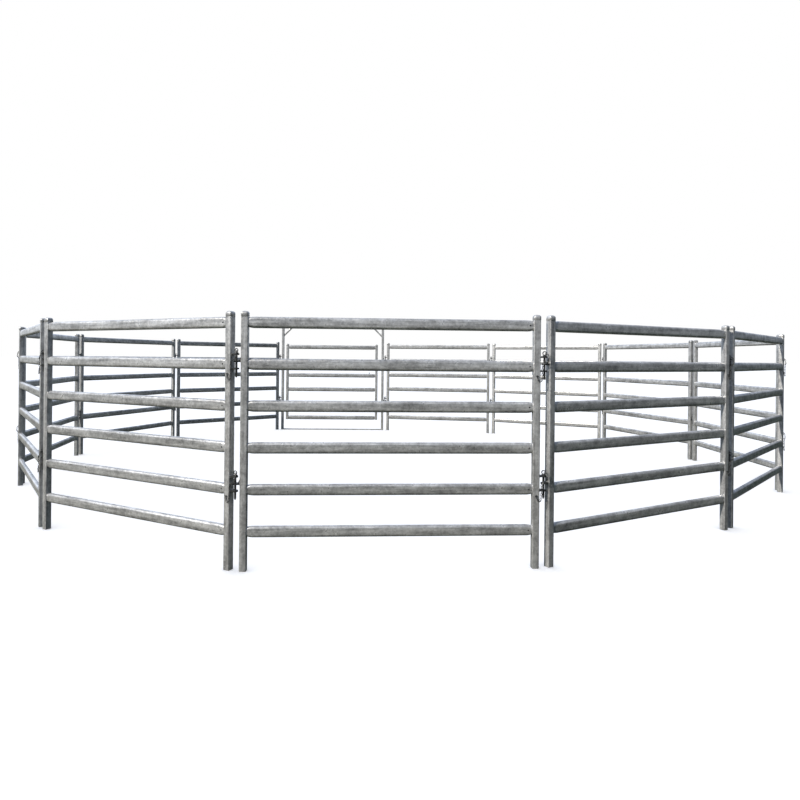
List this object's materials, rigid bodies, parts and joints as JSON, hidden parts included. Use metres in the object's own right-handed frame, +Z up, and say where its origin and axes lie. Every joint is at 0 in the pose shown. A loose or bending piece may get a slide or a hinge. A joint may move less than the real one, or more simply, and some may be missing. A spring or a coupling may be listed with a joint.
{
  "type": "round livestock yard of rail panels with a gate",
  "caption": "Round livestock yard of pinned six-rail galvanised steel panels, with a swinging gate in a tall frame.",
  "frame": {"origin": "on the ground, in the middle of the yard's outline", "axes": "+X along the front panel, to the right as seen from outside it; +Y from the front panel towards the gate; +Z up"},
  "size_m": [9.2423, 8.5005, 2.185],
  "materials": {
    "galvanised_tube": "hot-dip galvanised steel tube, dull mottled grey with a faint spangle",
    "plated_steel": "zinc-plated steel rod and bar, darker and a little smoother than the tube"
  },
  "bodies": {
    "panel_01": {"panel_01": "galvanised_tube"},
    "panel_02": {"panel_02": "galvanised_tube"},
    "panel_03": {"panel_03": "galvanised_tube"},
    "panel_04": {"panel_04": "galvanised_tube"},
    "panel_05": {"panel_05": "galvanised_tube"},
    "panel_06": {"panel_06": "galvanised_tube"},
    "panel_07": {"panel_07": "galvanised_tube"},
    "gate_frame": {"gate_frame": "galvanised_tube", "gate_hinge_pin_upper": "plated_steel", "gate_hinge_pin_lower": "plated_steel"},
    "panel_08": {"panel_08": "galvanised_tube"},
    "panel_09": {"panel_09": "galvanised_tube"},
    "panel_10": {"panel_10": "galvanised_tube"},
    "panel_11": {"panel_11": "galvanised_tube"},
    "panel_12": {"panel_12": "galvanised_tube"},
    "gate_leaf": {"gate_leaf": "galvanised_tube"},
    "latch_bolt": {"latch_bolt": "plated_steel"},
    "drop_pin_01_upper": {"drop_pin_01_upper": "plated_steel"},
    "drop_pin_01_lower": {"drop_pin_01_lower": "plated_steel"},
    "drop_pin_02_upper": {"drop_pin_02_upper": "plated_steel"},
    "drop_pin_02_lower": {"drop_pin_02_lower": "plated_steel"},
    "drop_pin_03_upper": {"drop_pin_03_upper": "plated_steel"},
    "drop_pin_03_lower": {"drop_pin_03_lower": "plated_steel"},
    "drop_pin_04_upper": {"drop_pin_04_upper": "plated_steel"},
    "drop_pin_04_lower": {"drop_pin_04_lower": "plated_steel"},
    "drop_pin_05_upper": {"drop_pin_05_upper": "plated_steel"},
    "drop_pin_05_lower": {"drop_pin_05_lower": "plated_steel"},
    "drop_pin_06_upper": {"drop_pin_06_upper": "plated_steel"},
    "drop_pin_06_lower": {"drop_pin_06_lower": "plated_steel"},
    "drop_pin_07_upper": {"drop_pin_07_upper": "plated_steel"},
    "drop_pin_07_lower": {"drop_pin_07_lower": "plated_steel"},
    "drop_pin_08_upper": {"drop_pin_08_upper": "plated_steel"},
    "drop_pin_08_lower": {"drop_pin_08_lower": "plated_steel"},
    "drop_pin_09_upper": {"drop_pin_09_upper": "plated_steel"},
    "drop_pin_09_lower": {"drop_pin_09_lower": "plated_steel"},
    "drop_pin_10_upper": {"drop_pin_10_upper": "plated_steel"},
    "drop_pin_10_lower": {"drop_pin_10_lower": "plated_steel"},
    "drop_pin_11_upper": {"drop_pin_11_upper": "plated_steel"},
    "drop_pin_11_lower": {"drop_pin_11_lower": "plated_steel"},
    "drop_pin_12_upper": {"drop_pin_12_upper": "plated_steel"},
    "drop_pin_12_lower": {"drop_pin_12_lower": "plated_steel"},
    "drop_pin_13_upper": {"drop_pin_13_upper": "plated_steel"},
    "drop_pin_13_lower": {"drop_pin_13_lower": "plated_steel"}
  },
  "joints": [
    {"name": "junction_01_turn", "type": "hinge", "parent": "panel_01", "child": "panel_02", "pos_m": [0.94322, -4.22567, 0.603], "axis": [0, 0, -1], "range_deg": [0, 26]},
    {"name": "junction_02_turn", "type": "hinge", "parent": "panel_02", "child": "panel_03", "pos_m": [2.89001, -3.27616, 0.603], "axis": [0, 0, -1], "range_deg": [0, 18]},
    {"name": "junction_03_turn", "type": "hinge", "parent": "panel_03", "child": "panel_04", "pos_m": [4.4481, -1.77153, 0.603], "axis": [0, 0, -1], "range_deg": [0, 42]},
    {"name": "junction_04_turn", "type": "hinge", "parent": "panel_04", "child": "panel_05", "pos_m": [4.59919, 0.3892, 0.603], "axis": [0, 0, -1], "range_deg": [0, 19]},
    {"name": "junction_05_turn", "type": "hinge", "parent": "panel_05", "child": "panel_06", "pos_m": [4.03859, 2.48139, 0.603], "axis": [0, 0, -1], "range_deg": [0, 43]},
    {"name": "junction_06_turn", "type": "hinge", "parent": "panel_06", "child": "panel_07", "pos_m": [2.20172, 3.6292, 0.603], "axis": [0, 0, -1], "range_deg": [0, 19]},
    {"name": "junction_13_turn", "type": "hinge", "parent": "panel_01", "child": "panel_12", "pos_m": [-1.22278, -4.22567, 0.603], "axis": [0, 0, 1], "range_deg": [0, 31]},
    {"name": "junction_12_turn", "type": "hinge", "parent": "panel_12", "child": "panel_11", "pos_m": [-3.0794, -3.1101, 0.603], "axis": [0, 0, 1], "range_deg": [0, 26]},
    {"name": "junction_11_turn", "type": "hinge", "parent": "panel_11", "child": "panel_10", "pos_m": [-4.25909, -1.29354, 0.603], "axis": [0, 0, 1], "range_deg": [0, 24]},
    {"name": "junction_10_turn", "type": "hinge", "parent": "panel_10", "child": "panel_09", "pos_m": [-4.59793, 0.8458, 0.603], "axis": [0, 0, 1], "range_deg": [0, 31]},
    {"name": "junction_09_turn", "type": "hinge", "parent": "panel_09", "child": "panel_08", "pos_m": [-3.78653, 2.85408, 0.603], "axis": [0, 0, 1], "range_deg": [0, 30.25]},
    {"name": "junction_08_turn", "type": "hinge", "parent": "panel_08", "child": "gate_frame", "pos_m": [-2.07383, 4.18006, 0.603], "axis": [0, 0, 1], "range_deg": [0, 39.43]},
    {"name": "gate_swing", "type": "hinge", "parent": "gate_frame", "child": "gate_leaf", "pos_m": [-1.96888, 4.17697, 0.46], "axis": [0, 0, 1], "range_deg": [-90, 90]},
    {"name": "latch_slide", "type": "slide", "parent": "gate_leaf", "child": "latch_bolt", "axis": [0.9996, -0.0294, 0], "range_m": [0, 0.13]},
    {"name": "drop_pin_01_upper_lift", "type": "slide", "parent": "panel_01", "child": "drop_pin_01_upper", "axis": [0, 0, 1], "range_m": [0, 0.17]},
    {"name": "drop_pin_01_lower_lift", "type": "slide", "parent": "panel_01", "child": "drop_pin_01_lower", "axis": [0, 0, 1], "range_m": [0, 0.17]},
    {"name": "drop_pin_02_upper_lift", "type": "slide", "parent": "panel_02", "child": "drop_pin_02_upper", "axis": [0, 0, 1], "range_m": [0, 0.17]},
    {"name": "drop_pin_02_lower_lift", "type": "slide", "parent": "panel_02", "child": "drop_pin_02_lower", "axis": [0, 0, 1], "range_m": [0, 0.17]},
    {"name": "drop_pin_03_upper_lift", "type": "slide", "parent": "panel_03", "child": "drop_pin_03_upper", "axis": [0, 0, 1], "range_m": [0, 0.17]},
    {"name": "drop_pin_03_lower_lift", "type": "slide", "parent": "panel_03", "child": "drop_pin_03_lower", "axis": [0, 0, 1], "range_m": [0, 0.17]},
    {"name": "drop_pin_04_upper_lift", "type": "slide", "parent": "panel_04", "child": "drop_pin_04_upper", "axis": [0, 0, 1], "range_m": [0, 0.17]},
    {"name": "drop_pin_04_lower_lift", "type": "slide", "parent": "panel_04", "child": "drop_pin_04_lower", "axis": [0, 0, 1], "range_m": [0, 0.17]},
    {"name": "drop_pin_05_upper_lift", "type": "slide", "parent": "panel_05", "child": "drop_pin_05_upper", "axis": [0, 0, 1], "range_m": [0, 0.17]},
    {"name": "drop_pin_05_lower_lift", "type": "slide", "parent": "panel_05", "child": "drop_pin_05_lower", "axis": [0, 0, 1], "range_m": [0, 0.17]},
    {"name": "drop_pin_06_upper_lift", "type": "slide", "parent": "panel_06", "child": "drop_pin_06_upper", "axis": [0, 0, 1], "range_m": [0, 0.17]},
    {"name": "drop_pin_06_lower_lift", "type": "slide", "parent": "panel_06", "child": "drop_pin_06_lower", "axis": [0, 0, 1], "range_m": [0, 0.17]},
    {"name": "drop_pin_07_upper_lift", "type": "slide", "parent": "panel_07", "child": "drop_pin_07_upper", "axis": [0, 0, 1], "range_m": [0, 0.17]},
    {"name": "drop_pin_07_lower_lift", "type": "slide", "parent": "panel_07", "child": "drop_pin_07_lower", "axis": [0, 0, 1], "range_m": [0, 0.17]},
    {"name": "drop_pin_08_upper_lift", "type": "slide", "parent": "gate_frame", "child": "drop_pin_08_upper", "axis": [0, 0, 1], "range_m": [0, 0.17]},
    {"name": "drop_pin_08_lower_lift", "type": "slide", "parent": "gate_frame", "child": "drop_pin_08_lower", "axis": [0, 0, 1], "range_m": [0, 0.17]},
    {"name": "drop_pin_09_upper_lift", "type": "slide", "parent": "panel_08", "child": "drop_pin_09_upper", "axis": [0, 0, 1], "range_m": [0, 0.17]},
    {"name": "drop_pin_09_lower_lift", "type": "slide", "parent": "panel_08", "child": "drop_pin_09_lower", "axis": [0, 0, 1], "range_m": [0, 0.17]},
    {"name": "drop_pin_10_upper_lift", "type": "slide", "parent": "panel_09", "child": "drop_pin_10_upper", "axis": [0, 0, 1], "range_m": [0, 0.17]},
    {"name": "drop_pin_10_lower_lift", "type": "slide", "parent": "panel_09", "child": "drop_pin_10_lower", "axis": [0, 0, 1], "range_m": [0, 0.17]},
    {"name": "drop_pin_11_upper_lift", "type": "slide", "parent": "panel_10", "child": "drop_pin_11_upper", "axis": [0, 0, 1], "range_m": [0, 0.17]},
    {"name": "drop_pin_11_lower_lift", "type": "slide", "parent": "panel_10", "child": "drop_pin_11_lower", "axis": [0, 0, 1], "range_m": [0, 0.17]},
    {"name": "drop_pin_12_upper_lift", "type": "slide", "parent": "panel_11", "child": "drop_pin_12_upper", "axis": [0, 0, 1], "range_m": [0, 0.17]},
    {"name": "drop_pin_12_lower_lift", "type": "slide", "parent": "panel_11", "child": "drop_pin_12_lower", "axis": [0, 0, 1], "range_m": [0, 0.17]},
    {"name": "drop_pin_13_upper_lift", "type": "slide", "parent": "panel_12", "child": "drop_pin_13_upper", "axis": [0, 0, 1], "range_m": [0, 0.17]},
    {"name": "drop_pin_13_lower_lift", "type": "slide", "parent": "panel_12", "child": "drop_pin_13_lower", "axis": [0, 0, 1], "range_m": [0, 0.17]}
  ]
}
